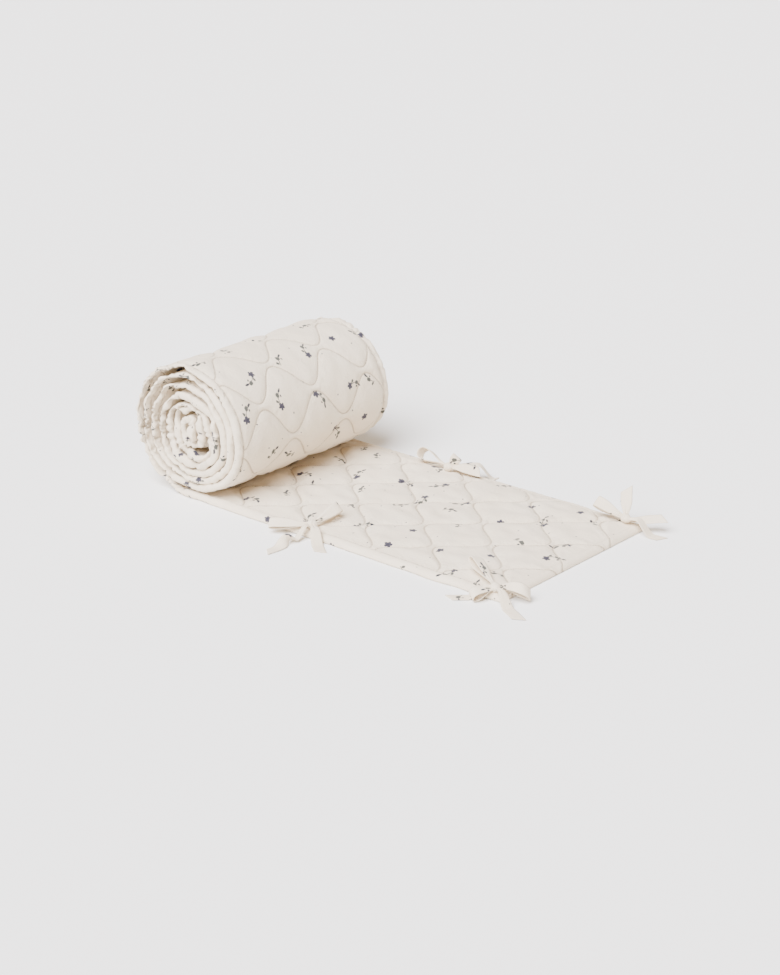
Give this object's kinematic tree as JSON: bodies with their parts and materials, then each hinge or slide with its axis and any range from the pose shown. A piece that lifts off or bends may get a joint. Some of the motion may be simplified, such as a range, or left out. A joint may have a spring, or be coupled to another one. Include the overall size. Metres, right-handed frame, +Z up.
{
  "type": "crib bumper",
  "caption": "Quilted cot bumper: a long padded cotton band, most of it rolled up and the rest lying flat, with soft ribbon ties bowed along both edges.",
  "frame": {"origin": "on the surface, straight below the roll's axis and at the middle of the band's width", "axes": "+X runs along the flat stretch to the band's free end, +Y across the band, +Z up"},
  "size_m": [0.6639, 0.3878, 0.1846],
  "materials": {
    "padded_cotton": "matt printed cotton, quilted over soft wadding",
    "tie_cotton": "matt printed cotton, sewn into a flat ribbon"
  },
  "bodies": {
    "root": {"band": "padded_cotton", "tie_near_middle": "tie_cotton", "tie_near_corner": "tie_cotton", "tie_far_middle": "tie_cotton", "tie_far_corner": "tie_cotton"}
  },
  "joints": []
}
